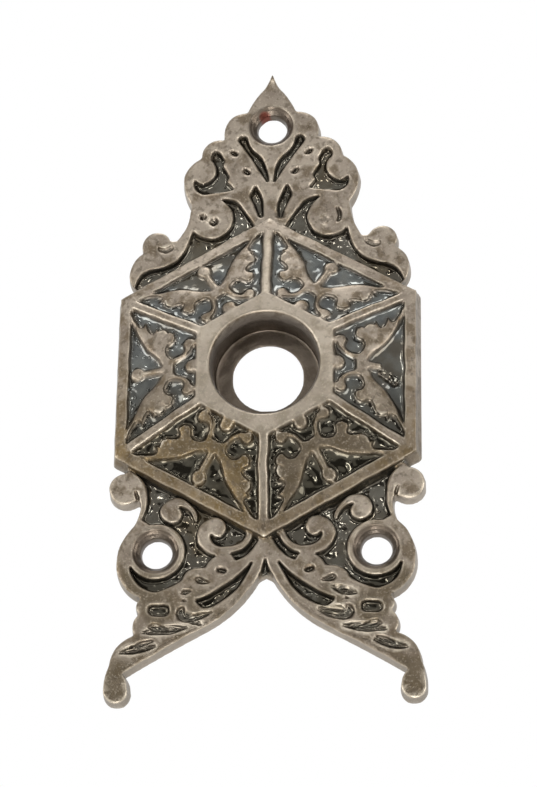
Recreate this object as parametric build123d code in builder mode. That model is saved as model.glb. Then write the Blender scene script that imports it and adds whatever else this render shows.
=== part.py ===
"""Door backplate: a cast plate with a six-sided boss round the knob bore and leaf scrollwork.

Millimetres, +Z up. The back of the plate lies on the plane Y = 0 and the front faces -Y.
The origin is the centre of the knob bore on the back face.
"""
import os
from math import atan, cos, radians, sin, tan

from build123d import *

# The boss: sizes across its flats, and heights above the back face.
HEX_ACROSS = 48.0
RIM_ACROSS = 20.8
FRAME_HEIGHT = 3.7
RIM_HEIGHT = 8.3
SIDE_DRAFT = 7.5
FRAME_BAND = 1.8
RIM_BAND = 0.5
RIB_WIDTH = 1.4
PANEL_DEPTH = 0.9

# The flange with the scrollwork round the boss.
RELIEF_HEIGHT = 2.9
GROUND_HEIGHT = 1.5
EYE_DEPTH = 0.8
BALL_SIDES = 8

# The bore for the knob neck, the web at its foot and the spindle hole in that web.
BORE_RADIUS = 8.5
BORE_CHAMFER = 0.4
WEB = 1.6
WEB_CHAMFER = 0.6
SPINDLE_RADIUS = 5.6

# Three countersunk screw holes, one at the top and two below the boss.
SCREW_RADIUS = 2.55
SCREW_MOUTH_RADIUS = 3.7
SCREW_CONE_ANGLE = 82.0
SCREW_RING_WIDTH = 0.8

# Where the screws go in the scrollwork. The finial follows the top screw.
TOP_SCREW_RISE = 45.2
LOWER_SCREW_SPACING = 34.6
LOWER_SCREW_DROP = 29.4
FINIAL_RISE = 9.8

# The hollow behind the boss.
BACK_WALL = 2.5
BACK_LAND = 2.6
HUB_WALL = 1.9

# The scrollwork is drawn for a boss 48 mm across its flats and grows with it, screws included.
ORNAMENT = HEX_ACROSS / 48.0

HEX_APOTHEM = HEX_ACROSS / 2
RIM_APOTHEM = RIM_ACROSS / 2
SLOPE = atan((RIM_HEIGHT - FRAME_HEIGHT) / (HEX_APOTHEM - RIM_APOTHEM))
FOOT_APOTHEM = HEX_APOTHEM + FRAME_HEIGHT * tan(radians(SIDE_DRAFT))
HOLLOW_APOTHEM = FOOT_APOTHEM - BACK_LAND
TIP = TOP_SCREW_RISE + FINIAL_RISE


def drawn(points):
    """Points of the ornament drawing at the size of this plate."""
    return [(x * ORNAMENT, y * ORNAMENT) for x, y in points]


def shape(*runs, mode=Mode.ADD):
    """A face with corners. Each run starts at a corner and goes to the start of the next run.

    A run of one point is a straight line. In a longer run every second point lies halfway
    along an arc.
    """
    with BuildLine() as edge:
        for run, following in zip(runs, runs[1:] + runs[:1]):
            points = drawn(run + following[:1])
            if len(points) == 2:
                Line(*points)
            for start, middle, end in zip(points[0::2], points[1::2], points[2::2]):
                ThreePointArc(start, middle, end)
    make_face(edge.edges(), mode=mode)


TOP_SCREW, *LOWER_SCREWS = drawn([
    (0, TOP_SCREW_RISE),
    (LOWER_SCREW_SPACING / 2, -LOWER_SCREW_DROP),
    (-LOWER_SCREW_SPACING / 2, -LOWER_SCREW_DROP),
])


def cut(*numbers):
    """A face with straight sides, from the numbers x, y, x, y and so on."""
    Polygon(*drawn(zip(numbers[0::2], numbers[1::2])), align=None)


def at(x, y, turn=0):
    """A place on the ornament drawing."""
    return Location((x * ORNAMENT, y * ORNAMENT), turn)


def facet(angle, drop=0.0):
    """The sloping plane of one facet of the boss, lowered towards the back by drop."""
    side, up = cos(radians(angle)), sin(radians(angle))
    foot = (RIM_APOTHEM * side, drop - RIM_HEIGHT, RIM_APOTHEM * up)
    return Plane(origin=foot, z_dir=(sin(SLOPE) * side, -cos(SLOPE), sin(SLOPE) * up))


# The edge of the plate, drawn for the right half from the top point round to the notch.
with BuildSketch() as outline:
    shape(
        # finial round the top screw
        [(0, TIP), (0.5, TIP - 1.4), (1.4, TIP - 2.9), (3.1, TIP - 5.1)],
        [(4.1, TIP - 7.1), (7.2, TIP - 8.5)],
        # toothed leaf and curled lobe
        [(7.7, 42.9), (10.8, 42.1)],
        [(11.7, 39.6), (13.7, 37.9), (14.6, 35.3), (14.1, 32.9)],
        [(13.1, 30.8), (13.7, 27.5)],
        [(15.2, 24.5)],
        # shoulder scroll
        [(16.2, 24.5), (18.7, 26.2)],
        [(20.6, 22.5), (22.7, 20.0)],
        [(22.5, 16.8)],
        # inside the boss
        [(19.0, 12.0)],
        [(19.0, -12.0)],
        # ear
        [(22.5, -16.2), (25.05, -18.9)],
        [(20.8, -21.0)],
        [(20.1, -20.9), (20.0, -22.9)],
        # lobe round the lower screw
        [(20.8, -25.0), (22.7, -27.6), (23.5, -30.9), (22.6, -34.6)],
        [(19.4, -37.2), (20.2, -38.5)],
        [(19.6, -39.7), (20.7, -41.3)],
        # foot
        [(20.2, -43.2), (22.9, -44.8)],
        [(24.2, -48.1), (24.8, -50.1), (24.9, -52.0), (22.9, -54.05), (21.05, -51.6), (21.3, -50.3)],
        [(22.0, -49.3), (16.0, -45.7), (9.5, -42.1), (5.0, -38.9)],
        [(1.2, -34.0)],
        [(0, -33.4)],
    )
    mirror(about=Plane.YZ)
    # the boss stands here
    RegularPolygon(HOLLOW_APOTHEM, 6, major_radius=False, rotation=30, mode=Mode.SUBTRACT)

# The pockets that go down to the ground, right half.
with BuildSketch() as pockets:
    # beside the top screw
    shape(
        [(0.45, 34.2), (0.6, 37.3), (2.3, 40.3), (3.5, 41.7)],
        [(3.9, 43.1), (5.0, 43.6)],
        [(5.6, 42.5), (2.9, 38.5)],
    )
    # beside the stem
    shape(
        [(2.6, 34.5), (1.3, 31.7), (1.05, 29.0), (1.5, 28.3)],
        [(2.1, 29.0), (3.0, 31.1)],
        [(3.6, 32.4), (3.2, 33.5)],
    )
    # between the toothed leaf and the curled lobe
    shape(
        [(9.3, 41.1), (10.1, 40.3), (9.6, 38.8), (9.4, 36.6), (11.2, 35.0), (12.2, 35.3)],
        [(12.7, 36.2), (12.8, 34.3), (11.0, 32.9), (8.6, 33.2)],
        [(6.0, 33.5)],
        [(7.2, 35.2)],
        [(6.8, 36.0)],
        [(8.0, 38.2)],
        [(7.6, 39.0)],
        [(8.5, 40.6)],
    )
    # round the disc and on along the boss to the shoulder
    shape(
        [(8.5, 31.9), (6.5, 31.9), (4.7, 30.3), (3.6, 28.8)],
        [(2.8, 27.4)],
        [(1.6, 24.0)],
        [(19.0, 14.0)],
        [(22.1, 16.3), (20.9, 18.6), (18.0, 19.8), (15.2, 21.1), (13.6, 23.7), (13.0, 25.3)],
        [(12.8, 26.7), (9.4, 24.9), (6.15, 28.4), (6.8, 30.4)],
    )
    # below the boss, between the ear, the screw ring and the wing
    shape(
        [(1.0, -24.0)],
        [(19.0, -14.0)],
        [(21.7, -15.8), (19.8, -17.4), (19.0, -20.2), (19.15, -22.2)],
        [(19.8, -24.2), (18.5, -24.9)],
        [(17.3, -27.0)],
        [(21.4, -30.9), (20.8, -33.9), (17.3, -36.1), (15.0, -35.4)],
        [(13.0, -34.2), (11.8, -32.6)],
        [(9.4, -32.4), (7.9, -30.6)],
        [(5.2, -30.4)],
        [(4.7, -31.3), (2.6, -30.0)],
        [(1.0, -27.6)],
    )
    # the long slit inside the wing
    shape(
        [(1.0, -29.0), (2.3, -31.4), (4.8, -33.9), (7.8, -36.0)],
        [(11.0, -37.5), (10.4, -38.4)],
        [(9.3, -39.0), (6.3, -37.6), (3.9, -35.2), (2.2, -32.2)],
    )
    # the window between the wing tips
    cut(14.9, -38.5, 15.6, -38.15, 17.7, -38.15, 18.3, -38.6, 18.2, -39.6, 17.6, -40.1, 15.5, -40.1,
        14.9, -39.6)
    # the notch between the wings
    shape([(0, -30.4), (0.55, -32.4)], [(1.5, -34.6)], [(1.5, -36.0)], [(0, -36.0)])
    # what stands in the pockets: the upper and the lower scroll
    shape(
        [(11.0, -25.6), (11.0, -23.4), (12.3, -21.5), (14.7, -20.6), (16.5, -22.0), (16.2, -24.0),
         (14.9, -24.65), (13.4, -23.4)],
        [(14.6, -21.9), (12.6, -22.3)],
        mode=Mode.SUBTRACT,
    )
    shape(
        [(2.0, -26.0), (2.8, -28.3), (5.1, -29.8), (8.0, -30.2), (10.2, -28.7), (10.8, -26.4),
         (8.9, -24.2), (6.6, -24.8), (6.5, -26.4), (7.5, -27.1)],
        [(8.7, -26.0), (8.7, -27.6), (6.3, -28.8), (4.0, -28.2)],
        [(2.9, -26.0)],
        mode=Mode.SUBTRACT,
    )
    mirror(about=Plane.YZ)
    # and the rings of the lower screws
    with Locations(*LOWER_SCREWS):
        Circle(SCREW_MOUTH_RADIUS + SCREW_RING_WIDTH, mode=Mode.SUBTRACT)

# The eyes and folds of the leaves, chip-cut with straight sides and less deep, right half.
with BuildSketch() as eyes:
    # toothed leaf and wing leaf
    with Locations(at(6.2, 40.4, 30), at(4.0, 36.9, 38), at(6.9, -32.8, 10)):
        cut(-1.05, 0, -0.5, 0.4, 0.5, 0.4, 1.05, 0, 0.5, -0.4, -0.5, -0.4)
    # disc, shoulder scroll and ear
    cut(10.4, 30.5, 11.5, 29.7, 11.8, 28.5, 11.4, 27.3, 10.2, 26.6, 10.9, 27.5, 11.05, 28.5, 10.9, 29.6)
    cut(15.7, 24.1, 15.8, 23.0, 17.0, 22.3, 18.2, 22.7, 18.6, 24.3, 17.9, 23.4, 17.0, 23.3, 16.1, 23.8)
    cut(20.5, -21.4, 20.1, -20.4, 20.4, -19.4, 21.8, -18.6, 20.9, -19.6, 20.7, -20.5)
    # folds of the wing, from the boss outwards
    cut(7.9, -34.5, 9.4, -34.25, 10.4, -33.6, 11.2, -34.0, 10.6, -34.9, 9.3, -34.9)
    cut(10.6, -36.0, 12.2, -35.85, 13.8, -36.2, 12.6, -36.75)
    cut(10.7, -37.2, 12.8, -37.4, 14.9, -38.0, 12.8, -37.9)
    cut(7.3, -39.3, 10.0, -39.5, 12.0, -40.2, 12.6, -39.6, 12.5, -38.5, 13.5, -38.8, 14.0, -39.8,
        13.4, -40.9, 12.2, -41.2, 9.8, -40.6)
    cut(11.6, -42.1, 14.8, -42.0, 17.3, -41.2, 18.4, -41.8, 17.4, -42.6, 14.5, -42.7)
    cut(16.0, -43.5, 19.2, -44.2, 21.6, -45.6, 18.6, -44.9)
    mirror(about=Plane.YZ)

# The leaf spray of one panel of the boss, drawn with x away from the bore.
with BuildSketch() as spray:
    # leaf with a smooth and a toothed edge
    shape(
        [(15.4, 0), (17.4, 2.0), (19.3, 3.8), (21.0, 6.6)],
        [(22.0, 10.6)],
        [(20.3, 7.9)],
        [(19.6, 9.0)],
        [(18.6, 6.5)],
        [(17.7, 8.0)],
        [(16.8, 5.6)],
        [(15.7, 6.8)],
        [(14.6, 6.2)],
        [(14.2, 5.2)],
        [(14.6, 4.5)],
        [(15.6, 4.2)],
        [(16.0, 3.4)],
        [(15.5, 2.4)],
        [(14.7, 1.0)],
        [(14.7, 0)],
    )
    # tendril
    cut(14.9, 1.9, 13.7, 2.15, 12.9, 2.8, 12.8, 3.6, 11.8, 3.6, 11.7, 2.6, 12.7, 1.7, 13.9, 1.4, 14.8, 0.9)
    # stem
    cut(15.5, 0, 15.5, 0.9, 16.8, 0.45, 20.4, 0.35, 20.4, 0)
    # ball of the tendril, berry and bud
    with Locations(at(12.3, 4.0), at(11.6, 0), at(20.7, 0)):
        RegularPolygon(1.1 * ORNAMENT, BALL_SIDES)
    mirror(about=Plane.XZ)

# The flange: the whole outline, with the pockets and the eyes cut into its front.
with BuildPart() as flange:
    with BuildSketch(Plane.XZ):
        add(outline.sketch)
    extrude(amount=RELIEF_HEIGHT)
    with BuildSketch(Plane.XZ.offset(GROUND_HEIGHT)):
        add(pockets.sketch)
    extrude(amount=RELIEF_HEIGHT, mode=Mode.SUBTRACT)
    with BuildSketch(Plane.XZ.offset(RELIEF_HEIGHT - EYE_DEPTH)):
        add(eyes.sketch)
    extrude(amount=RELIEF_HEIGHT, mode=Mode.SUBTRACT)

# One panel of the boss: the sunk ground round the leaf spray.
with BuildPart() as panel:
    inner = RIM_APOTHEM + RIM_BAND
    outer = HEX_APOTHEM - FRAME_BAND
    rib_half = RIB_WIDTH / 2 / cos(radians(30))
    inner_half = inner * tan(radians(30)) - rib_half
    outer_half = outer * tan(radians(30)) - rib_half
    with BuildSketch(Plane.XZ):
        with BuildLine():
            upper = [(inner, inner_half), (outer, outer_half)]
            lower = [(outer, -outer_half), (inner, -inner_half)]
            Polyline(*upper, *lower, close=True)
        make_face()
        add(spray.sketch, mode=Mode.SUBTRACT)
    extrude(amount=RIM_HEIGHT + 1)
    split(bisect_by=facet(0, PANEL_DEPTH), keep=Keep.TOP)

# The hollow behind the boss, with the hub of the bore left standing in it.
with BuildPart() as hollow:
    with BuildSketch(Plane.XZ):
        RegularPolygon(HOLLOW_APOTHEM, 6, major_radius=False, rotation=30)
        Circle(BORE_RADIUS + HUB_WALL, mode=Mode.SUBTRACT)
    extrude(amount=RIM_HEIGHT)
    for side in range(6):
        split(bisect_by=facet(60 * side, BACK_WALL), keep=Keep.BOTTOM)

# The whole casting.
with BuildPart() as backplate:
    with BuildSketch(Plane.XZ):
        RegularPolygon(FOOT_APOTHEM, 6, major_radius=False, rotation=30)
    extrude(amount=RIM_HEIGHT, taper=SIDE_DRAFT)
    for side in range(6):
        split(bisect_by=facet(60 * side), keep=Keep.BOTTOM)
        add(panel.part, rotation=(0, 60 * side, 0), mode=Mode.SUBTRACT)
    add(hollow.part, mode=Mode.SUBTRACT)
    add(flange.part)
    with Locations(Plane.XZ.offset(RIM_HEIGHT)):
        CounterBoreHole(SPINDLE_RADIUS, BORE_RADIUS, RIM_HEIGHT - WEB)
    rings = backplate.edges().filter_by(GeomType.CIRCLE)
    chamfer(rings.group_by(Axis.Y)[0], BORE_CHAMFER)
    ledge = rings.group_by(SortBy.RADIUS)[0].sort_by(Axis.Y)[0]
    chamfer(ledge, WEB_CHAMFER)
    with Locations(Plane.XZ.offset(RELIEF_HEIGHT)):
        with Locations(TOP_SCREW, *LOWER_SCREWS):
            CounterSinkHole(SCREW_RADIUS, SCREW_MOUTH_RADIUS, RELIEF_HEIGHT + 1, SCREW_CONE_ANGLE)

backplate.part.label = "backplate"
os.makedirs("parts", exist_ok=True)
export_step(backplate.part, "parts/backplate.step")
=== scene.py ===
# %% [markdown]
# # A cast bronze door backplate
#
# The plate is one heavy casting: a six-sided boss of leaf panels round the knob bore, and a
# flange of scrolls with a pointed top and two splayed feet. The CAD frame gives its true size
# and every edge of the ornament. What is left for Blender is what a foundry and a hundred
# years of hands add: soft edges, uneven skin, dirt in the recesses and worn high places.

import math

import bmesh
import bpy
import numpy as np
from mathutils import Matrix, Vector, noise


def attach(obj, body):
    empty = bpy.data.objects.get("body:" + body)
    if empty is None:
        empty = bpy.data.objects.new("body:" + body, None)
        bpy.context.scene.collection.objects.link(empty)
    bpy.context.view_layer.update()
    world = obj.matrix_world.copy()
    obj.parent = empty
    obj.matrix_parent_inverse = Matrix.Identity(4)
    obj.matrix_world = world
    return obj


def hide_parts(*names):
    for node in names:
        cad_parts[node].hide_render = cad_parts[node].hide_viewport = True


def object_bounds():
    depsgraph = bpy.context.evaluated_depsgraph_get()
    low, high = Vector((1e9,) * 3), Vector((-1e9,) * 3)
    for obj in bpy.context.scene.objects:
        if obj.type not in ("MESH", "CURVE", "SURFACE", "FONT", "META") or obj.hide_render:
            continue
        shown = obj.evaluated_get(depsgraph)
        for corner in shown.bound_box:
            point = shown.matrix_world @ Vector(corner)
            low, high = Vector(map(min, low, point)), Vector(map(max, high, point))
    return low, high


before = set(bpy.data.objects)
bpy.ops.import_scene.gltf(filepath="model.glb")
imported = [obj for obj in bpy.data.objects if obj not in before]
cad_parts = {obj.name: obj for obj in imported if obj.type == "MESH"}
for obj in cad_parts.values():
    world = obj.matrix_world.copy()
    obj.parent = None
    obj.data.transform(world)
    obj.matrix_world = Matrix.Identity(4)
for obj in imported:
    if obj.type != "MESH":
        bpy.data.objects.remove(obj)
cad_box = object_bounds()
scene = bpy.context.scene
MM = 1000  # millimetres in a metre
print("CAD box, mm:", [round(v * MM, 2) for corner in cad_box for v in corner])

# %% [markdown]
# ## The rough casting
#
# The CAD mesh is made of long thin triangles with knife-sharp edges. It could be bevelled, but
# so many small edges meet in the leaves that a bevel would tear. Voxels are kinder: the shape
# is cut into small even cells, and every later step can then move the surface freely. The
# work is done in millimetres on a merged copy, and the CAD node itself is never touched.

# %% Helpers for meshes and objects
SAME_POINT = 0.001


def merge_doubles(mesh):
    """Join points that lie closer than a thousandth of a millimetre."""
    build = bmesh.new()
    build.from_mesh(mesh)
    bmesh.ops.remove_doubles(build, verts=build.verts, dist=SAME_POINT)
    build.to_mesh(mesh)
    build.free()


def put_in_scene(name, data):
    """A new object at the origin."""
    thing = bpy.data.objects.new(name, data)
    scene.collection.objects.link(thing)
    return thing


def after_modifiers(thing):
    """An object's shape after its modifiers, as a plain mesh. The object is removed."""
    graph = bpy.context.evaluated_depsgraph_get()
    mesh = bpy.data.meshes.new_from_object(thing.evaluated_get(graph))
    thing.modifiers.clear()
    bpy.data.objects.remove(thing)
    return mesh


print("points closer than this are one, mm:", SAME_POINT)

# %% Cut the casting into even cells
CELL = 0.2


def even_mesh(node, cell):
    """A merged copy of a CAD node, in millimetres, cut into even cells."""
    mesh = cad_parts[node].data.copy()
    mesh.transform(Matrix.Scale(MM, 4))
    merge_doubles(mesh)
    rough = put_in_scene("rough_casting", mesh)
    cells = rough.modifiers.new("Cells", "REMESH")
    cells.mode = "VOXEL"
    cells.voxel_size = cell
    return after_modifiers(rough)


casting_mesh = even_mesh("backplate", CELL)
print("cells on the surface:", len(casting_mesh.polygons))

# %% [markdown]
# ## Soft edges
#
# Molten metal never fills a sharp corner, and polishing takes the edge off the rest. Pulling
# each point towards its neighbours rounds the edges, but it also shrinks thin ribs. A second,
# slightly stronger push outwards after each pull keeps the ribs at their height. A modifier
# could do this too, but the later steps need the same pull on chosen places only, so it is
# written once here, on arrays of points.

# %% Read and write points
def points_of(mesh):
    """The places of all points, one row for each."""
    flat = np.empty(len(mesh.vertices) * 3)
    mesh.vertices.foreach_get("co", flat)
    return flat.reshape(-1, 3)


def normals_of(mesh):
    """The direction in which the surface faces at each point."""
    flat = np.empty(len(mesh.vertices) * 3, np.float32)
    mesh.vertex_normals.foreach_get("vector", flat)
    return flat.reshape(-1, 3).astype(float)


def put_points(mesh, points):
    """Move the points of a mesh to these places."""
    mesh.vertices.foreach_set("co", points.astype(np.float32).ravel())
    mesh.update()


def neighbours(mesh):
    """The two ends of every edge, and how many edges meet at each point."""
    ends = np.empty(len(mesh.edges) * 2, np.int32)
    mesh.edges.foreach_get("vertices", ends)
    ends = ends.reshape(-1, 2)
    return ends, np.bincount(ends.ravel(), minlength=len(mesh.vertices))


points = points_of(casting_mesh)
ends, count = neighbours(casting_mesh)
print("points:", len(points), "edges:", len(ends))

# %% Smooth the surface
SMOOTH_ROUNDS = 6
PULL, PUSH = 0.5, 0.52


def mean_of_neighbours(values):
    """The mean of what each point's neighbours have, for places and for other measures."""
    total = np.zeros_like(values)
    columns = values.reshape(len(values), -1)
    sums = total.reshape(len(values), -1)
    for k in range(columns.shape[1]):
        sums[:, k] += np.bincount(ends[:, 0], columns[ends[:, 1], k], len(values))
        sums[:, k] += np.bincount(ends[:, 1], columns[ends[:, 0], k], len(values))
    sums /= np.maximum(count, 1)[:, None]
    return total


def relaxed(points, share, rounds=1):
    """The points after some rounds that move each by a share of the way to its neighbours."""
    if np.ndim(share) == 1:
        share = share[:, None]
    for turn in range(rounds):
        points = points + share * (mean_of_neighbours(points) - points)
    return points


for turn in range(SMOOTH_ROUNDS):
    points = relaxed(points, PULL)
    points = relaxed(points, -PUSH)
points = relaxed(points, PULL)
put_points(casting_mesh, points)
print("smoothed points:", len(points))

# %% [markdown]
# ## A map of the front
#
# Many questions about the relief are easier on a flat map than on the mesh: how high is the
# front here, is this place near an edge, is there plate at all beyond this wall? The map is a
# small grid seen from the front, filled with the highest value in each square.

# %% Make maps of the front and read them
SQUARE = 0.25
MAP_MARGIN = 5
low, high = [np.array(corner) * MM for corner in cad_box]
map_start = low[[0, 2]] - MAP_MARGIN
map_size = ((high - low)[[0, 2]] + 2 * MAP_MARGIN) / SQUARE


def ease(start, end, value):
    """0 before start, 1 past end, and a soft step between. Start may be the larger one."""
    t = np.clip((value - start) / (end - start), 0, 1)
    return t * t * (3 - 2 * t)


def front_map(points, values):
    """The highest value in each square of the map, 0 where there is no plate."""
    squares = ((points[:, [0, 2]] - map_start) / SQUARE).astype(int)
    grid = np.zeros(map_size.astype(int) + 1)
    np.maximum.at(grid, (squares[:, 0], squares[:, 1]), values)
    return grid


def blurred(grid, reach):
    """A soft copy of a map, spread over about this many millimetres."""
    steps = max(1, round(reach / SQUARE / 2))
    for turn in range(2):
        for axis in (0, 1):
            shifted = [np.roll(grid, k, axis) for k in range(-steps, steps + 1)]
            grid = sum(shifted) / (2 * steps + 1)
    return grid


def widened(grid, reach):
    """The highest value within this many millimetres."""
    steps = round(reach / SQUARE)
    for axis in (0, 1):
        grid = np.max([np.roll(grid, k, axis) for k in range(-steps, steps + 1)], axis=0)
    return grid


def read_map(grid, x, z):
    """The value of a map at each place, blended from the four squares round it."""
    u = (x - map_start[0]) / SQUARE - 0.5
    v = (z - map_start[1]) / SQUARE - 0.5
    i, j = u.astype(int), v.astype(int)
    a, b = u - i, v - j
    lower = grid[i, j] * (1 - a) + grid[i + 1, j] * a
    upper = grid[i, j + 1] * (1 - a) + grid[i + 1, j + 1] * a
    return lower * (1 - b) + upper * b


print("map squares:", int(map_size[0]), "by", int(map_size[1]))

# %% Find the way about the plate
# Heights are above the back face, and the slope runs from the rim to the frame of the boss.
SLOPE_START, SLOPE_END = 10.4, 24.0
RIM_TOP, FRAME_TOP, FLANGE_TOP = 8.3, 3.7, 2.9
LOOK_BEYOND = 0.9


def across(x, z):
    """How far a place lies from the bore, measured square to the six sides of the boss."""
    turns = np.radians(np.arange(6) * 60)
    return np.max(np.outer(x, np.cos(turns)) + np.outer(z, np.sin(turns)), axis=1)


def depth_of(points):
    """How far each point lies below the uncut front: the rim, the slopes or the flange."""
    away = across(points[:, 0], points[:, 2])
    slope = RIM_TOP - (away - SLOPE_START) * (RIM_TOP - FRAME_TOP) / (SLOPE_END - SLOPE_START)
    top = np.where(away > SLOPE_END + 0.1, FLANGE_TOP, np.clip(slope, FRAME_TOP, RIM_TOP))
    return top + points[:, 1]


def flange_at(points):
    """1 on the flange, 0 on the boss."""
    return ease(24.2, 24.8, across(points[:, 0], points[:, 2]))


def outside_wall(points, facing):
    """1 on the walls that face away from the plate, 0 on walls inside the pockets."""
    beyond = points + LOOK_BEYOND * facing
    there = read_map(front_map(points, -points[:, 1]), beyond[:, 0], beyond[:, 2])
    return ease(0.6, 0.2, there) * ease(0.9, 0.6, np.abs(facing[:, 1]))


def far_from(x, z):
    """How far each point lies from a place, seen from the front."""
    return np.hypot(points[:, 0] - x, points[:, 2] - z)


print("points on the flange:", int((flange_at(points) > 0.5).sum()))

# %% [markdown]
# ## What the founder's hand leaves
#
# On the real plate walls lean so that the casting leaves its mould, gouges are round and the
# dirt has filled the corners. Drafts and fillets in CAD would break on so fine a relief. Each
# of these is only a soft push on the surface, so a few lines that move points do the job. The
# surface is sorted first, so that each push takes hold only where it belongs.

# %% Sort the surface into front, walls, pockets and gouges
SCREWS = [(0, 45.2), (-17.3, -29.4), (17.3, -29.4)]
RIM_REACH, SCREW_REACH = 10, 4.1  # the bore's rim and the screws' rings are no pockets
POCKET_LEVEL = -0.9  # the floor of every pocket lies further from the back than this
GOUGE_REACH = 1.0

facing = normals_of(casting_mesh)
for turn in range(2):
    facing = mean_of_neighbours(facing)
depth = depth_of(points)
flange = flange_at(points)
outer = outside_wall(points, facing)
front = ease(0.1, 0.6, -facing[:, 1]) * ease(0.05, 0.4, -points[:, 1])
not_back = facing[:, 1] < 0.3
in_pocket = (1 - outer) * not_back * (points[:, 1] < POCKET_LEVEL)
in_pocket *= far_from(0, 0) > RIM_REACH
for x, z in SCREWS:
    in_pocket *= far_from(x, z) > SCREW_REACH
deepest = widened(front_map(points, np.where(front > 0.3, depth, 0)), GOUGE_REACH)
gouge = flange * (1 - outer) * ease(1.1, 0.95, read_map(deepest, points[:, 0], points[:, 2]))
gouge *= points[:, 1] < POCKET_LEVEL
print("points in pockets:", int(in_pocket.sum()), "in gouges:", int((gouge > 0.5).sum()))

# %% Lean the walls and round the gouges
POCKET_LEAN = 0.24
BACK_LEAN, FRONT_LEAN = 0.16, 0.08
TIP_SWELL = 0.12
SOFTEN = 0.6  # how far a round pulls the places that are made soft, here and later
GOUGE_ROUNDS = 7

tip = ease(52.2, 54.2, points[:, 2])
below_tip = ease(51.5, 49.0, points[:, 2])
height = -points[:, 1]
spread = POCKET_LEAN * ease(0.1, 1.0, depth) * in_pocket * (1 - gouge) + TIP_SWELL * tip
lean = BACK_LEAN * ease(2.2, 0.2, height) - FRONT_LEAN * ease(1.4, 2.8, height) * below_tip
spread += outer * lean
points[:, 0] += facing[:, 0] * spread
points[:, 2] += facing[:, 2] * spread
points = relaxed(points, SOFTEN * np.maximum(gouge, tip), GOUGE_ROUNDS)
print("widest push on a wall, mm:", round(float(np.abs(spread).max()), 2))

# %% Let the film pool at the foot of the walls
POOL_PULL, POOL_ROUNDS = 0.55, 11

pool = ease(0.12, 0.5, depth) * in_pocket * (1 - gouge)
points = relaxed(points, POOL_PULL * pool, POOL_ROUNDS)
print("points in pools:", int((pool > 0.5).sum()))

# %% [markdown]
# ## Leaves
#
# Each panel holds a spray of two leaves. The frame draws all twelve with the same sharp teeth,
# but in the casting they are slimmer, their teeth are blunt, and two teeth of each leaf have
# run together to one broad lobe. Twelve drawings could show this, but pushes on the surface
# are quicker to try. To fill the gap between two teeth, its floor is lifted to the height of
# the leaf. Trimming pulls every wall back a little, except near the stem, which is thin enough.

# %% Find the panels and the leaves
PANEL_SIDES = 6
RIB_HALF = 0.8


def panel_place(points):
    """How far each point lies from the bore along its panel's middle line, and aside of it."""
    turn = np.round(np.degrees(np.arctan2(points[:, 2], points[:, 0])) / 60) * np.pi / 3
    away = points[:, 0] * np.cos(turn) + points[:, 2] * np.sin(turn)
    return away, np.abs(points[:, 2] * np.cos(turn) - points[:, 0] * np.sin(turn))


def in_panels(points, inset=0.0):
    """1 inside the six panels of the boss, 0 on their frames, on the ribs and on the flange."""
    away, aside = panel_place(points)
    inside = away * math.tan(math.radians(30)) - RIB_HALF - aside - inset
    share = ease(-0.1, 0.1, inside) * ease(10.8, 11.0, away - inset)
    return share * ease(22.3, 22.1, away + inset)


leaf = (np.degrees(np.arctan2(points[:, 2], points[:, 0])) // 30 + 1).astype(int) % 12
print("points in the panels:", int((in_panels(points) > 0.5).sum()))

# %% Join two teeth of each leaf to one lobe
# The places are those of panel_place, at the gap between the two teeth.
UPPER_TEETH, LOWER_TEETH = (18.7, 7.3), (16.9, 6.3)
LOWER_JOINED = [1, 6, 7, 10]
LOBE_RADIUS = 1.05
LOBE_FALL = 0.1

joined = np.array([UPPER_TEETH] * 12)
joined[LOWER_JOINED] = LOWER_TEETH
to_lobe = np.transpose(panel_place(points)) - joined[leaf]
lobe = ease(1, 0.75, np.linalg.norm(to_lobe, axis=1) / LOBE_RADIUS)
lobe *= in_panels(points) * not_back
points[:, 1] -= lobe * np.clip(depth_of(points) - LOBE_FALL, 0, 1)
depth = np.where(lobe > 0, depth_of(points), depth)
front = np.maximum(front, lobe)
pool *= 1 - lobe
print("points in lobes:", int((lobe > 0.5).sum()))

# %% Narrow the leaves and round their teeth
LEAF_TRIM = 0.38
TOOTH_ROUNDS = 8
IN_PLANE = [1, 0, 1]  # sideways and up, and not in or out

trim = LEAF_TRIM * in_panels(points, 0.5) * ease(1.2, 2.0, panel_place(points)[1])
points -= trim[:, None] * facing * IN_PLANE
leaves = SOFTEN * in_panels(points)[:, None] * IN_PLANE * not_back[:, None]
points = relaxed(points, leaves, TOOTH_ROUNDS)
print("points trimmed:", int((trim > 0.1).sum()))

# %% [markdown]
# ## Holes
#
# The knob has worn the mouth of its bore, most at the top where it hangs, and the spindle hole
# opens towards the back, so that light comes through it from below. Both are pushes away from
# the middle of the bore that fade to nothing on the flat round them, so no face folds over.

# %% Open the mouth of the bore and the back of the spindle hole
MOUTH_WEAR = 0.3
SPINDLE_RADIUS, WEB = 5.6, 1.6
FLARE, FLARE_END = 0.65, 8.4
LIP_ROUNDS = 6

from_middle = far_from(0, 0)
mouth = ease(-5.5, -8.1, points[:, 1])
mouth = mouth * ease(8.0, 8.4, from_middle) * ease(10.0, 8.9, from_middle)
wider = MOUTH_WEAR * mouth * (1 + ease(-4, 6, points[:, 2])) / 2
flare = FLARE * np.clip(points[:, 1] + WEB, 0, WEB)
wider += flare * np.clip((FLARE_END - from_middle) / (FLARE_END - SPINDLE_RADIUS), 0, 1)
points[:, 0] += points[:, 0] / np.maximum(from_middle, 1) * wider
points[:, 2] += points[:, 2] / np.maximum(from_middle, 1) * wider
lip = ease(8.0, 7.0, from_middle) * ease(-2.2, -1.8, points[:, 1])
points = relaxed(points, SOFTEN * lip, LIP_ROUNDS)
print("points moved round the holes:", int((np.abs(wider) > 0.01).sum()))

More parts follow.
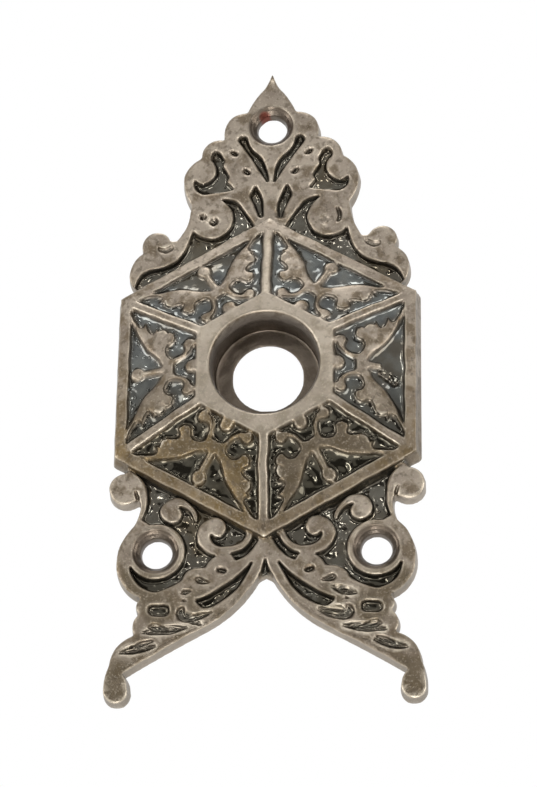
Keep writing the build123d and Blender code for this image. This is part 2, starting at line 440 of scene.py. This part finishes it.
# %% [markdown]
# ## Cushions, buttons and dishes
#
# The scrolls are soft cushions that fall towards their edges, the scroll ends are domed like
# buttons, and the volutes are dished. A blurred map of the high places tells how near an edge
# each point is, and the buttons and dishes are only round dimples, up or down.

# %% Raise the cushions
CUSHION, LEAF_CUSHION = 0.55, 0.35
EDGE_REACH = 1.3

raised = front * ease(0.6, 0.3, depth)
tops = blurred(front_map(points, raised), EDGE_REACH)
near_edge = np.clip(0.85 - read_map(tops, points[:, 0], points[:, 2]), 0, 1)
rise = CUSHION * flange + LEAF_CUSHION * in_panels(points)
points[:, 1] += rise * raised * near_edge
print("cushion fall at the edges, mm:", round(float((rise * raised * near_edge).max()), 2))

# %% Dome the buttons and dish the volutes
# Each place is x, z, radius and depth on the right half; a dome has a depth below 0.
DOMES = [(22.5, -18.7, 2.8, -0.35), (23.0, -51.7, 2.6, -0.35),
         (19.7, -39.7, 1.5, -0.2), (17.3, 24.6, 2.6, -0.2)]
DISHES = [(9.4, 28.4, 2.6, 0.16), (6.2, 40.4, 1.0, 0.2),
          (4.0, 36.9, 1.0, 0.2), (6.9, -32.8, 1.0, 0.2)]


def near(x, z, radius):
    """1 at the place x, z, falling to 0 at the radius."""
    far = far_from(x, z) / radius
    return np.clip(1 - far * far, 0, 1)


def sink(places):
    """Press round dimples into the front."""
    for x, z, radius, sunk in places:
        points[:, 1] += sunk * front * near(x, z, radius)


def mirrored(places):
    """The same places on the left half."""
    return [(-x, *others) for x, *others in places]


sink(DOMES + mirrored(DOMES))
sink(mirrored(DISHES) + DISHES)
print("domes:", 2 * len(DOMES), "dishes:", 2 * len(DISHES))

# %% [markdown]
# ## Faults
#
# No mould fills quite as it was cut. The crescent on the left volute never came out, a bud of
# the right panel is a pit, the small pockets beside the feet are shallow, and the veins of the
# wings run on further than they were drawn. The frame stays as it was drawn, and each fault is
# a push at its own place, so it can be changed or left out by itself.

# %% Fill the crescent and sink the pit
CRESCENT = -9.9, 28.5
CRESCENT_FALL = 0.08
PIT, PIT_DEPTH = (20.4, 0, 2.1), 0.9
SHALLOW, SHALLOW_FILL = [(16.6, -39.1, 2.6), (-16.6, -39.1, 2.6)], 0.6
FAULT_ROUNDS = 10
VOLUTE_DIMPLES = [(-11.2, 28.8, 0.8, 0.8), (-9.3, 27.9, 0.9, 0.9), (8.9, 27.6, 0.9, 0.4)]
PIT_FLOOR = [(18.4, -1.0, 0.8, 0.5), (19.5, -1.6, 1.0, 0.8),
             (20.5, -2.3, 0.9, 0.7), (19.2, -2.7, 0.8, -0.25)]

filled = (near(*CRESCENT, 2.8) > 0) & (front > 0) & (depth < 1.0)
points[filled, 1] = -FLANGE_TOP + CRESCENT_FALL
level = ease(0, 0.3, near(*CRESCENT, 3.0)) * front * (depth < 1.0)
pit = ease(0, 0.3, near(*PIT)) * in_panels(points) * not_back
points[:, 1] += pit * np.clip(PIT_DEPTH - depth_of(points), 0, 1)
by_feet = near(*SHALLOW[0]) + near(*SHALLOW[1])
points[:, 1] -= SHALLOW_FILL * (ease(0, 0.3, by_feet) * ease(0.4, 0.7, depth) * front)
points = relaxed(points, SOFTEN * np.maximum(level, pit), FAULT_ROUNDS)
sink(VOLUTE_DIMPLES)
sink(PIT_FLOOR)
print("filled points:", int(filled.sum()), "pit points:", int((pit > 0.5).sum()))

# %% Cut the veins of the wings further
# Each vein is a long lens between two places x, z.
VEINS = [((12.2, -42.1), (18.8, -42.8)), ((-12.2, -42.1), (-18.8, -42.7)),
         ((17.0, -44.5), (22.0, -45.8)), ((-17.0, -44.9), (-22.4, -45.9)),
         ((10.4, -35.8), (14.2, -36.9)), ((8.4, -39.2), (13.6, -39.9)),
         ((-13.4, -39.5), (-10.0, -41.5))]
VEIN_DEPTH = 0.8
VEIN_ROUNDS = 4


def vein(start, end):
    """1 on the line between two places, falling to 0 at the edge of a long lens round it."""
    line = np.subtract(end, start)
    from_start = points[:, [0, 2]] - start
    share = np.clip(from_start @ line / (line @ line), 0, 1)
    half_width = 0.3 + 0.6 * np.sin(math.pi * share)
    far = np.linalg.norm(from_start - np.outer(share, line), axis=1) / half_width
    return np.clip(1 - far * far, 0, 1)


veins = np.max([vein(start, end) for start, end in VEINS], axis=0) * front
points[:, 1] += np.clip(VEIN_DEPTH * veins - depth_of(points), 0, 1) * front
points = relaxed(points, SOFTEN * ease(0, 0.4, veins), VEIN_ROUNDS)
print("veins:", len(VEINS), "with", int((veins > 0.1).sum()), "points")

# %% [markdown]
# ## Lines and skin
#
# A pattern cut by hand has no line that is quite straight, and the sand leaves a lumpy skin. A
# sum of slow waves lets the lines wander, and noise lifts and lowers the skin. Both fade out
# at the holes and at the pointed top, whose places are measured, and the result is kept inside
# the box of the frame.

# %% Let the lines wander and give the skin its lumps
TOP_SHIFT, BOSS_SHIFT = 0.2, 0.22
WANDER = 0.07
LUMP = 0.06

free = ease(0.3, 1.2, -points[:, 1]) * below_tip
for x, z, radius in [(0, 0, 11.0)] + [(x, z, 4.7) for x, z in SCREWS]:
    free *= ease(radius - 0.6, radius + 1.2, far_from(x, z))
x, z = points[:, 0].copy(), points[:, 2].copy()
shift = TOP_SHIFT * flange * ease(20, 34, z)
shift -= BOSS_SHIFT * (1 - flange) * ease(20, -14, z) * ease(11, 15, across(x, z))
points[:, 0] += shift
points[:, 0] += WANDER * free * (np.sin(0.93 * z + 1.7) + np.sin(1.61 * z - 0.57 * x)) / 2
points[:, 2] += WANDER * free * (np.sin(0.87 * x + 0.4) + np.sin(1.47 * x + 0.61 * z + 2.0)) / 2
skin = np.array([
    noise.noise(Vector(p) * 0.45) + 0.5 * noise.noise(Vector(p) * 1.1) for p in points])
points[:, 1] += LUMP * front * free * skin
points = np.clip(points, low, high)
put_points(casting_mesh, points)
print("skin lumps, mm:", round(float(np.ptp(skin)) * LUMP, 3))

# %% [markdown]
# ## Where dirt and painted shade gather, and where hands polish
#
# Old bronze is dark where a cloth cannot reach and bright where it always does. Both follow
# from the shape, so they are measured now, while the points are still close together, and
# stored on the points for the finish to read. The depth below the front gives the recesses.
# For the wear and the corner darkening, each point is compared with the mean of the points round
# it: one that stands out gets rubbed, and one in a corner is darkened with dirt and painted
# shade.

# %% Measure holes, recesses and outer walls
facing = normals_of(casting_mesh)
depth = depth_of(points)
away = far_from(0, 0)
hole = ease(8.85, 8.6, away) * ease(0.1, 0.4, depth)
for x, z in SCREWS:
    hole = np.maximum(hole, ease(3.85, 3.6, far_from(x, z)))
outer = outside_wall(points, facing)
filed = outer * flange_at(points)
not_behind = ease(0.3, 0.0, facing[:, 1])
recess = np.maximum(ease(0.3, 0.85, depth), 0.9 * ease(0.15, 0.6, veins))
recess = recess * (1 - outer) * (1 - hole) * not_behind * (away > 9.3)
print("points in recesses:", int((recess > 0.5).sum()), "in holes:", int((hole > 0.5).sum()))

# %% Measure wear, and dirt with painted shade in the corners
LOOK_ROUND = 4
RUBBED = 0.35  # how far the high ribs and the rim are polished

round_about = points
for turn in range(LOOK_ROUND):
    round_about = mean_of_neighbours(round_about)
stands_out = np.einsum("ij,ij->i", points - round_about, facing)
wear = ease(0.02, 0.08, stands_out) * (0.4 + 0.6 * ease(-0.35, 0.4, skin))
upright_ribs = ease(2.0, 1.2, np.abs(points[:, 0])) * ease(4.2, 5.5, -points[:, 1])
rubbed = np.maximum(upright_ribs, ease(7.8, 8.1, -points[:, 1])) * ease(0.3, 0.1, depth)
wear = np.maximum(wear, RUBBED * rubbed * (1 - in_panels(points)))
# Dirt and painted shade: a point that lies in a corner is darkened.
grime_and_corner_shade = ease(0.015, 0.07, -stands_out)
for turn in range(2):
    recess = 0.5 * recess + 0.5 * mean_of_neighbours(recess)
    grime_and_corner_shade = 0.5 * grime_and_corner_shade + 0.5 * mean_of_neighbours(grime_and_corner_shade)
print("points worn:", int((wear > 0.5).sum()), "in dirt:", int((grime_and_corner_shade > 0.5).sum()))

# %% [markdown]
# ## No two sides alike
#
# The lower side is painted darker and browner, as painted shade, with a few real brown stains;
# the lower frames keep an ochre lacquer, and a screw has left rust in the top hole. The film is
# smooth in the right panel and wet and lumpy below, and the grit lies thickest along the walls.
# Lists with one value for each panel, counted from the right panel towards the top, say how much.

# %% Tell the sides apart
FILM_LUMPS = np.array([0.3, 0.6, 0.6, 0.8, 1.0, 1.0])
LOWER_LEFT = 4
RUST_SPOT = -1.0, 47.3, 1.1
BROWN_SPOTS = [(19.0, -34.5, 4.0), (16.6, -39.1, 3.0), (10.0, -38.0, 2.5), (22.6, -51.0, 4.5)]

panel = np.round(np.degrees(np.arctan2(points[:, 2], points[:, 0])) / 60) % PANEL_SIDES
panel = panel.astype(int)
on_boss = flange_at(points) < 0.5
lumpy = np.where(on_boss, FILM_LUMPS[panel], 1.0)
lower = ease(6, -14, points[:, 2])
left = ease(3, -3, points[:, 0])
# Painted shade with real stains: the lower side is darker and browner, and brown spots are added.
stains_and_lower_shade = np.where(on_boss, lower * (0.4 + 0.6 * in_panels(points)),
                 0.35 * ease(-15, -40, points[:, 2]))
for x, z, radius in BROWN_SPOTS:
    stains_and_lower_shade = np.maximum(stains_and_lower_shade, ease(0, 0.4, near(x, z, radius) + near(-x, z, radius)))
ochre = ease(21.9, 22.4, across(points[:, 0], points[:, 2])) * (0.6 + 0.4 * left)
ochre = np.maximum(ochre, 0.75 * in_panels(points) * left * (panel == LOWER_LEFT))
ochre = ochre * on_boss * lower
ochre *= 0.5 + 0.5 * ease(-0.3, 0.4, skin)
on_front = not_behind * ease(0.3, 0.9, -points[:, 1])
stains_and_lower_shade, ochre = stains_and_lower_shade * on_front, ochre * on_front
rust = ease(0, 0.7, near(*RUST_SPOT)) * hole
print("points in brown:", int((stains_and_lower_shade > 0.5).sum()), "in ochre:", int((ochre > 0.5).sum()))

# %% Say where grit lies, and store all measures on the points
GRIT = np.array([0.0, 0.7, 0.7, 3.0, 2.5, 2.5])
FLANGE_GRIT = 0.5
WALL_REACH = 0.8

ground = ease(0.55, 0.8, depth) * ease(0.6, 0.9, -facing[:, 1]) * (1 - hole) * (away > 10)
ground *= np.where(on_boss, GRIT[panel], FLANGE_GRIT)
walls = blurred(front_map(points, pool * (np.abs(facing[:, 1]) < 0.6)), WALL_REACH)
ground *= 0.15 + ease(0.05, 0.25, read_map(walls, points[:, 0], points[:, 2]))
halo = raised * ease(0.0, 0.45, near_edge)
measured = {"halo": halo, "recess": recess, "wear": wear, "grime_and_corner_shade": grime_and_corner_shade, "bore": hole,
            "ground": ground, "lumpy": lumpy, "stains_and_lower_shade": stains_and_lower_shade, "rust": rust, "filed": filed,
            "ochre": ochre}
for name, values in measured.items():
    layer = casting_mesh.attributes.new(name, "FLOAT", "POINT")
    layer.data.foreach_set("value", values.astype(np.float32))
print("stored:", {name: round(float(values.mean()), 3) for name, values in measured.items()})

# %% [markdown]
# ## Fewer triangles
#
# Even cells spend as many triangles on the flat back as on the leaves. Decimate removes them
# where the surface is plain, and the ornament keeps its share. The stored measures come along.

# %% Thin the mesh
TRIANGLES = 180000


def thinned(mesh, triangles):
    """The same shape with about this many triangles."""
    rough = put_in_scene("rough_casting", mesh)
    thin = rough.modifiers.new("Thin", "DECIMATE")
    thin.ratio = min(1.0, triangles / (2 * len(mesh.polygons)))
    thin.use_collapse_triangulate = True
    result = after_modifiers(rough)
    merge_doubles(result)
    return result


plate_mesh = thinned(casting_mesh, TRIANGLES)
plate_mesh.name = "backplate_casting"
plate_mesh.polygons.foreach_set("use_smooth", [True] * len(plate_mesh.polygons))
plate_mesh.transform(Matrix.Scale(1 / MM, 4))
plate = put_in_scene("backplate_casting", plate_mesh)
print("triangles:", len(plate_mesh.polygons))

# %% [markdown]
# ## The finish: cast bronze with an old patina
#
# Cast bronze is a brown-grey metal with a satin skin. Where hands reach, it stays pale and
# dull-bright; in the recesses, wax, soot and lacquer have set into a dark, glossy film. Two
# materials with a mask would do, but film and metal run into each other. So one shader does
# both: the stored measures move its colour, gloss and bumps from one to the other, and fine
# noise gives the grain of the sand mould.

# %% One small helper adds every node
def add(tree, kind, sockets=(), **settings):
    """A new node with its settings; sockets holds (input, value or output to link) pairs."""
    node = tree.nodes.new(kind)
    for name, value in settings.items():
        setattr(node, name, value)
    for key, value in sockets:
        if isinstance(value, bpy.types.NodeSocket):
            tree.links.new(value, node.inputs[key])
        else:
            node.inputs[key].default_value = value
    return node


def linear(hex_colour):
    """An sRGB hex colour as linear red, green, blue and alpha."""
    parts = [int(hex_colour[k:k + 2], 16) / 255 for k in (1, 3, 5)]
    return [p / 12.92 if p <= 0.04045 else ((p + 0.055) / 1.055) ** 2.4 for p in parts] + [1.0]


print("mid grey #808080 in linear light:", round(linear("#808080")[0], 3))

# %% Patterns of the finish
# Aged cast bronze: to the eye a cloudy satin metal, with a wet dark film in the recesses.
# Sizes are in millimetres. The sand's grain is really about 0.15 mm, which is less than a pixel
# of the render, so it is drawn coarser.
PATTERNS = [("cloud", 7, 4), ("patch", 2.4, 3), ("speck", 0.9, 3), ("lump", 1.7, 0),
            ("grain", 0.35, 2)]

bronze = bpy.data.materials.new("aged_cast_bronze")
bronze.use_nodes = True
tree = bronze.node_tree
shader = tree.nodes["Principled BSDF"]
place = add(tree, "ShaderNodeTexCoord").outputs["Object"]
part_of = {}
for name in measured:
    part_of[name] = add(tree, "ShaderNodeAttribute", attribute_name=name).outputs["Fac"]
for name, size, detail in PATTERNS:
    pattern = [("Vector", place), ("Scale", MM / size), ("Detail", detail)]
    part_of[name] = add(tree, "ShaderNodeTexNoise", pattern).outputs["Fac"]
print("patterns and measures:", list(part_of))

# %% Lay on the colours
# Each coat: what it follows, from, to, its strength and its colour.
METAL = "#6F655A", [
    ("cloud", 0.35, 0.65, 1.0, "#8F8578"),  # paler where hands rub
    ("patch", 0.50, 0.62, 0.8, "#574B3B"),  # brown patches of old lacquer
    ("halo", 0.0, 1.0, 0.5, "#5F513D"),  # darker brown near the edges of the high places
    ("stains_and_lower_shade", 0.0, 1.0, 0.8, "#4F4535"),  # painted shade on the lower side, and stains
    ("ochre", 0.0, 1.0, 0.75, "#62502F"),  # old lacquer on the lower frames
    ("speck", 0.54, 0.66, 0.6, "#4A4136"),  # dark specks
    ("grain", 0.55, 0.75, 0.35, "#AFA595"),  # bright grains of the mould's sand
    ("filed", 0.0, 1.0, 0.4, "#ABA296"),  # cleaner metal on the outer edge
    ("wear", 0.0, 1.0, 0.75, "#BFB5A4"),  # rubbed edges
    ("bore", 0.0, 1.0, 0.8, "#4B4239"),  # dull brown inside the holes
    ("rust", 0.0, 1.0, 0.7, "#6A2618"),  # red rust of an old screw
]
FILM = "#505251", [
    ("patch", 0.40, 0.65, 1.0, "#6B6D6A"),  # slate grey, a little cloudy
    ("cloud", 0.50, 0.65, 0.6, "#4C4334"),  # and brown in places
    ("lumpy", 0.8, 1.0, 0.45, "#51452F"),  # browner on the flange and below
    ("stains_and_lower_shade", 0.0, 1.0, 0.85, "#38352C"),  # painted shade: darker film below, and stains
    ("grime_and_corner_shade", 0.0, 1.0, 1.0, "#484239"),  # dirt and painted shade in the corners
]
FIRST, SECOND, MIXED = 6, 7, 2  # the colour sockets of a Mix node

painted = []
for first, coats in (METAL, FILM):
    colour = linear(first)
    for follows, start, end, strength, tint in coats:
        share = add(tree, "ShaderNodeMapRange", [
            ("Value", part_of[follows]), ("From Min", start), ("From Max", end),
            ("To Max", strength)])
        coat = add(tree, "ShaderNodeMix", [
            ("Factor", share.outputs[0]), (FIRST, colour), (SECOND, linear(tint))],
            data_type="RGBA")
        colour = coat.outputs[MIXED]
    painted.append(colour)
both = add(tree, "ShaderNodeMix", [
    ("Factor", part_of["recess"]), (FIRST, painted[0]), (SECOND, painted[1])], data_type="RGBA")
tree.links.new(both.outputs[MIXED], shader.inputs["Base Color"])
print("coats of colour:", len(METAL[1]) + len(FILM[1]))

# %% Gloss and bumps
# Satin metal on top; below, a film as smooth as wet paint, so it throws back sharp glints.
# The film lies on bronze and is lit like it, so the metal value is the same for both. It is a
# little under 1, because dust and wax scatter some light.
METALLIC = 0.88
SATIN, WET = 0.42, 0.12
GRAIN_HEIGHT, LUMP_HEIGHT = 0.06 / MM, 0.5 / MM

shader.inputs["Metallic"].default_value = METALLIC
dull = add(tree, "ShaderNodeMath", [(0, part_of["bore"]), (1, 0.4)], operation="MULTIPLY")
filmy = add(tree, "ShaderNodeMath", [
    (0, part_of["recess"]), (1, dull.outputs[0])], operation="MAXIMUM")
gloss = add(tree, "ShaderNodeMapRange", [
    ("Value", filmy.outputs[0]), ("From Min", 0.2), ("To Min", SATIN), ("To Max", WET)])
tree.links.new(gloss.outputs[0], shader.inputs["Roughness"])
dry = add(tree, "ShaderNodeMapRange", [
    ("Value", part_of["recess"]), ("To Min", 0.6), ("To Max", 0.05)])
fine = add(tree, "ShaderNodeBump", [
    ("Height", part_of["grain"]), ("Strength", dry.outputs[0]), ("Distance", GRAIN_HEIGHT)])
wet = add(tree, "ShaderNodeMath", [
    (0, filmy.outputs[0]), (1, part_of["lumpy"])], operation="MULTIPLY")
lumps = add(tree, "ShaderNodeBump", [
    ("Height", part_of["lump"]), ("Strength", wet.outputs[0]), ("Distance", LUMP_HEIGHT),
    ("Normal", fine.outputs["Normal"])])
tree.links.new(lumps.outputs["Normal"], shader.inputs["Normal"])
plate_mesh.materials.clear()
plate_mesh.materials.append(bronze)
print("finish:", bronze.name, "with", len(tree.nodes), "nodes")

# %% [markdown]
# ## Grit in the recesses
#
# The grounds between the leaves are strewn with small lumps of grit under the dark film, and
# each one catches a spark of light. Hundreds of loose copies would be slow by hand, so a
# Geometry Nodes tree strews one flat bead over the grounds, with its size and number as
# inputs. The beads carry a recess value of 1, so the bronze finish shows its dark film there.

# %% The inputs of the tree that strews the beads
INPUTS = [("Beads per square metre", "NodeSocketFloat", 0.35e6),
          ("Bead diameter", "NodeSocketFloat", 0.0006),
          ("Seed", "NodeSocketInt", 5),
          ("Finish", "NodeSocketMaterial", bronze)]

strew = bpy.data.node_groups.new("grit_in_the_recesses", "GeometryNodeTree")
strew.interface.new_socket("Geometry", in_out="INPUT", socket_type="NodeSocketGeometry")
for name, kind, value in INPUTS:
    strew.interface.new_socket(name, in_out="INPUT", socket_type=kind)
strew.interface.new_socket("Geometry", in_out="OUTPUT", socket_type="NodeSocketGeometry")
given = add(strew, "NodeGroupInput").outputs
print("inputs:", [name for name, kind, value in INPUTS])

# %% The tree that strews the beads
SMALLEST, LARGEST = 0.5, 1.2  # shares of the bead's diameter
FLATNESS = 0.6

where = add(strew, "GeometryNodeInputNamedAttribute", [("Name", "ground")], data_type="FLOAT")
thick = add(strew, "ShaderNodeMath", [
    (0, where.outputs["Attribute"]), (1, given["Beads per square metre"])],
    operation="MULTIPLY")
spots = add(strew, "GeometryNodeDistributePointsOnFaces", [
    ("Mesh", given["Geometry"]), ("Density", thick.outputs[0]), ("Seed", given["Seed"])])
half = add(strew, "ShaderNodeMath", [(0, given["Bead diameter"]), (1, 0.5)], operation="MULTIPLY")
bead = add(strew, "GeometryNodeMeshIcoSphere", [("Radius", half.outputs[0]), ("Subdivisions", 2)])
bulk = add(strew, "FunctionNodeRandomValue", [
    (2, SMALLEST), (3, LARGEST), ("Seed", given["Seed"])], data_type="FLOAT")
flat = add(strew, "ShaderNodeMath", [(0, bulk.outputs[1]), (1, FLATNESS)], operation="MULTIPLY")
shape = add(strew, "ShaderNodeCombineXYZ", [
    ("X", bulk.outputs[1]), ("Y", bulk.outputs[1]), ("Z", flat.outputs[0])])
beads = add(strew, "GeometryNodeInstanceOnPoints", [
    ("Points", spots.outputs["Points"]), ("Instance", bead.outputs["Mesh"]),
    ("Rotation", spots.outputs["Rotation"]), ("Scale", shape.outputs[0])])
solid = add(strew, "GeometryNodeRealizeInstances", [("Geometry", beads.outputs["Instances"])])
dark = add(strew, "GeometryNodeStoreNamedAttribute", [
    ("Geometry", solid.outputs["Geometry"]), ("Name", "recess"), ("Value", 1.0)],
    data_type="FLOAT")
smooth = add(strew, "GeometryNodeSetShadeSmooth", [("Geometry", dark.outputs["Geometry"])])
finished = add(strew, "GeometryNodeSetMaterial", [
    ("Geometry", smooth.outputs["Geometry"]), ("Material", given["Finish"])])
add(strew, "NodeGroupOutput", [("Geometry", finished.outputs["Geometry"])])
print("nodes in the tree:", len(strew.nodes))

# %% Strew the beads and keep them as a plain mesh
carrier = put_in_scene("grit_carrier", plate_mesh.copy())
strewing = carrier.modifiers.new("Grit", "NODES")
strewing.node_group = strew
sockets = {
    item.name: item.identifier
    for item in strew.interface.items_tree if item.in_out == "INPUT"}
for name, kind, value in INPUTS:
    strewing[sockets[name]] = value
grit_mesh = after_modifiers(carrier)
grit = put_in_scene("recess_grit", grit_mesh)
print("grit triangles:", len(grit_mesh.polygons))

# %% [markdown]
# ## Tie the pieces to the frame
#
# The plate has no joints, so both pieces ride on its one body. The casting stands for the CAD
# node, which is hidden, and both wear the same bronze finish.

# %% Ride and replace
for piece in (plate, grit):
    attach(piece, "root")
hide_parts("backplate")

# %% [markdown]
# ## Studio
#
# The plate was photographed in a light tent: white all round, soft light from above and both
# sides, and a darker place where the camera stands. Metal shows whatever is round it, so that
# dark place matters: it is what makes the lower panels deep. A plain floor lies well below.
# What the camera sees, straight or in a reflection, is pure white, while the light that the
# tent throws on the plate is weaker, so that the lamps can shape it.

# %% Floor of white paper
# Matt white paper: to the eye a plain bright ground that takes only a faint shadow.
FLOOR_GLOW = 0.45


def flat_square(name, size, centre, facing_point):
    """A square of the stage that faces a point."""
    build = bmesh.new()
    bmesh.ops.create_grid(build, x_segments=1, y_segments=1, size=size / 2)
    mesh = bpy.data.meshes.new(name)
    build.to_mesh(mesh)
    build.free()
    turn = (Vector(facing_point) - Vector(centre)).to_track_quat("Z", "Y")
    mesh.transform(Matrix.Translation(centre) @ turn.to_matrix().to_4x4())
    square = put_in_scene(name, mesh)
    return square


def seen_directly(tree):
    """1 for rays that show a thing itself or its mirror image, 0 for those that light others."""
    path = add(tree, "ShaderNodeLightPath").outputs
    shown = path["Is Camera Ray"]
    for ray in ("Is Glossy Ray", "Is Transmission Ray"):
        either = add(tree, "ShaderNodeMath", [(0, shown), (1, path[ray])], operation="MAXIMUM")
        shown = either.outputs[0]
    return shown


floor = flat_square("floor", 12.0, (0, 0, -0.35), (0, 0, 1))
paper = bpy.data.materials.new("white_paper")
paper.use_nodes = True
tree = paper.node_tree
sheet = tree.nodes["Principled BSDF"]
sheet.inputs["Base Color"].default_value = linear("#F2F1EF")
sheet.inputs["Roughness"].default_value = 0.9
sheet.inputs["Emission Color"].default_value = linear("#FFFFFF")
glow = add(tree, "ShaderNodeMath", [
    (0, seen_directly(tree)), (1, FLOOR_GLOW)], operation="MULTIPLY")
tree.links.new(glow.outputs[0], sheet.inputs["Emission Strength"])
floor.data.materials.append(paper)
print("floor:", floor.name, "of", paper.name)

# %% Tent
TENT_LIGHT = 0.55

world = bpy.data.worlds.new("light_tent")
world.use_nodes = True
scene.world = world
tree = world.node_tree
tent = tree.nodes["Background"]
tent.inputs["Color"].default_value = linear("#FFFFFF")
tent.inputs["Strength"].default_value = TENT_LIGHT
white = add(tree, "ShaderNodeBackground", [("Color", linear("#FFFFFF")), ("Strength", 1.0)])
either = add(tree, "ShaderNodeMixShader", [
    (0, seen_directly(tree)), (1, tent.outputs[0]), (2, white.outputs[0])])
tree.links.new(either.outputs[0], tree.nodes["World Output"].inputs["Surface"])
print("tent light:", TENT_LIGHT)

# %% The shade round the camera
# Dark cloth: to the eye a dull black without any shine, here seen only in the metal.
shade = flat_square("camera_shade", 1.1, (0.0, -1.0, -0.36), (0, 0, 0))
shade.visible_camera = False
cloth = bpy.data.materials.new("dark_cloth")
cloth.use_nodes = True
weave = cloth.node_tree.nodes["Principled BSDF"]
weave.inputs["Base Color"].default_value = linear("#4E4A46")
weave.inputs["Roughness"].default_value = 1.0
shade.data.materials.append(cloth)
print("shade:", shade.name, "of", cloth.name)

# %% [markdown]
# ## Lamps
#
# Large lamps stand beside, above and below the plate and a little in front of it, so that they
# graze it: the walls and the edges of the ornament catch the light and the flat parts stay
# quiet. Each small bulb in front is seen again in every wet lump of the film, as a spark.

# %% Lamps
LARGE, SMALL, BULB = 0.30, 0.15, 0.05  # sizes in metres
LAMPS = [
    ("lamp_left", (-0.54, -0.26, -0.03), LARGE, 1.6),
    ("lamp_right", (0.54, -0.26, -0.02), LARGE, 1.6),
    ("lamp_top", (-0.03, -0.14, 0.60), LARGE, 1.6),
    ("lamp_bottom", (0.0, -0.18, -0.30), SMALL, 0.7),
    ("bulb_left", (-0.28, -0.56, 0.31), BULB, 0.24),
    ("bulb_right", (0.21, -0.60, 0.30), BULB, 0.24),
    ("bulb_front", (0.0, -0.69, 0.07), BULB, 0.30),
    ("bulb_low_right", (0.385, -0.58, -0.035), BULB, 0.35),
    ("bulb_low_left", (-0.476, -0.504, -0.084), BULB, 0.35),
]

for name, spot, size, watts in LAMPS:
    lamp = bpy.data.lights.new(name, "AREA")
    lamp.shape = "SQUARE"
    lamp.size = size
    lamp.energy = watts
    softbox = put_in_scene(name, lamp)
    softbox.location = spot
    softbox.rotation_euler = (-Vector(spot)).to_track_quat("-Z", "Y").to_euler()
    softbox.visible_camera = False
print("lamps:", [name for name, *others in LAMPS])

# %% [markdown]
# ## Camera
#
# The photograph looks up at the plate from below and a little from the right. The angles, the
# distance and the lens were found by matching the holes and corners of the plate.

# %% Place the camera
AZIMUTH, ELEVATION, ROLL = (math.radians(a) for a in (5.672, -22.915, 0.671))
TARGET = Vector((-0.000082, 0, -0.001929))
DISTANCE = 0.45
LENS = 128.05

back = Vector((
    math.sin(AZIMUTH) * math.cos(ELEVATION),
    -math.cos(AZIMUTH) * math.cos(ELEVATION),
    math.sin(ELEVATION)))
right = Vector((math.cos(AZIMUTH), math.sin(AZIMUTH), 0))
up = back.cross(right)
sideways = math.cos(ROLL) * right + math.sin(ROLL) * up
crown = -math.sin(ROLL) * right + math.cos(ROLL) * up
lens = bpy.data.cameras.new("camera")
lens.lens = LENS
lens.clip_start = 0.01
camera = put_in_scene("camera", lens)
camera.matrix_world = Matrix((sideways, crown, back)).transposed().to_4x4()
camera.location = TARGET + back * DISTANCE
scene.camera = camera
scene.view_settings.view_transform = "Standard"
print("camera at, mm:", [round(v * MM, 1) for v in camera.location])
